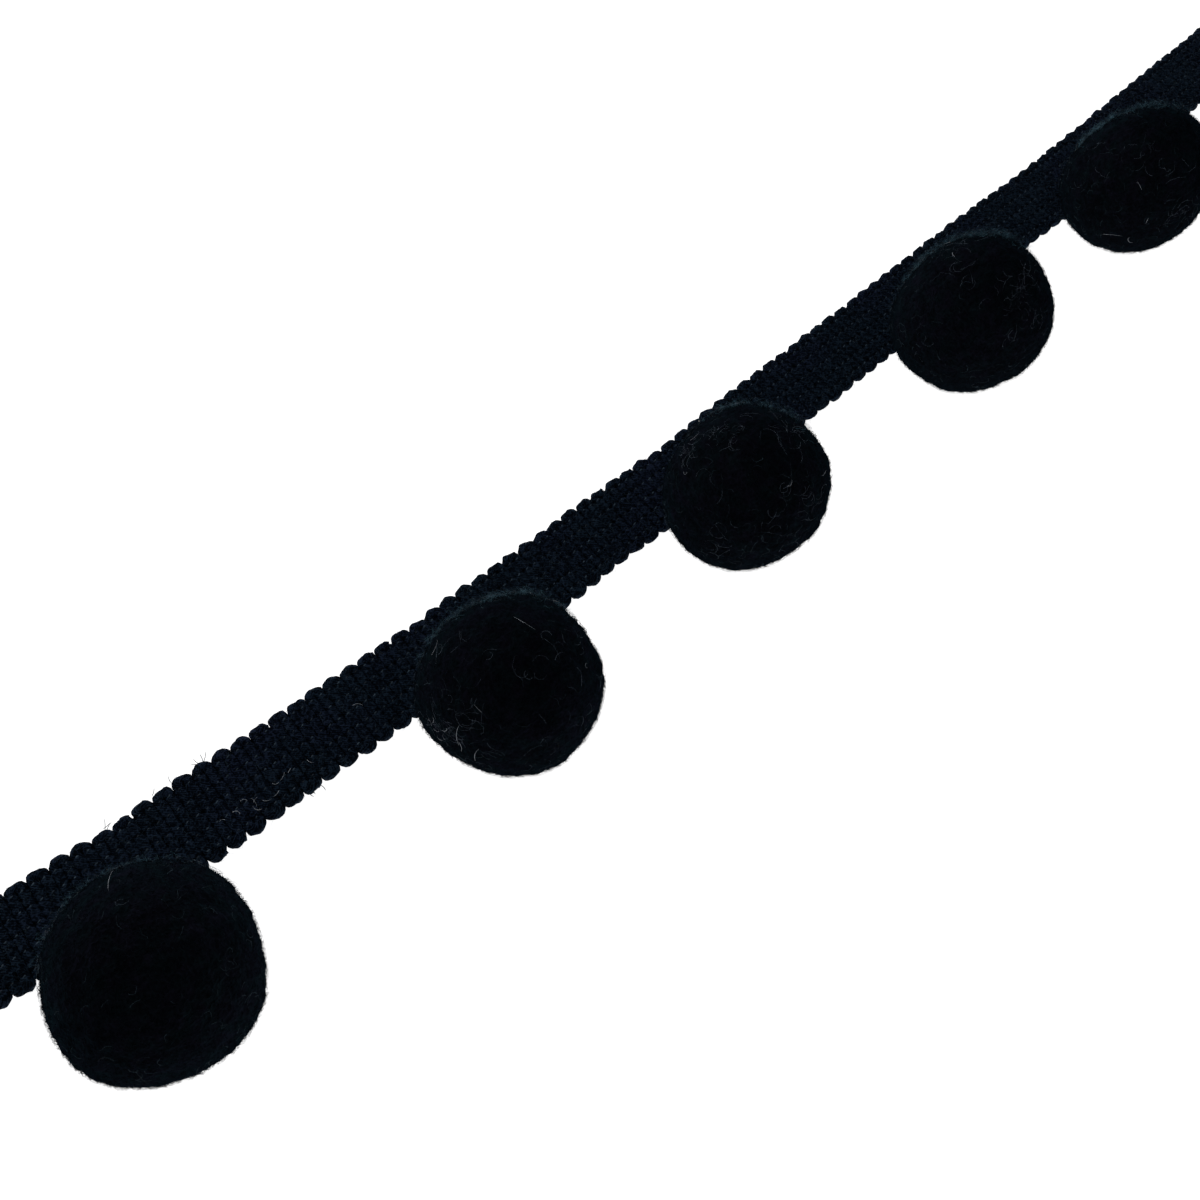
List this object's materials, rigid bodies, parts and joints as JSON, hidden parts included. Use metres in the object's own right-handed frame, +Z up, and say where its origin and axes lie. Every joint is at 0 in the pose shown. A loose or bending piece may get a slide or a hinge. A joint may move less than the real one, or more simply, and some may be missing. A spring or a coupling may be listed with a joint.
{
  "type": "pompom fringe trim",
  "caption": "Woven trim with scalloped edges and a rib across its tape, with round cut-pile pompoms hung in a row along one edge.",
  "frame": {"origin": "under the middle of the trim's bounding box, on the plane that it lies on", "axes": "+X along the tape, +Y across it towards its plain edge, away from the pompoms, +Z up from the surface"},
  "size_m": [0.2948, 0.0388, 0.0263],
  "materials": {
    "tape_yarn": "near-black navy soft multifilament yarn with a faint sheen",
    "pompom_pile": "matt near-black dense cut pile, like velvet, with a faint teal cast"
  },
  "bodies": {
    "root": {"tape": "tape_yarn", "pompom_1": "pompom_pile", "pompom_2": "pompom_pile", "pompom_3": "pompom_pile", "pompom_4": "pompom_pile", "pompom_5": "pompom_pile"}
  },
  "joints": []
}
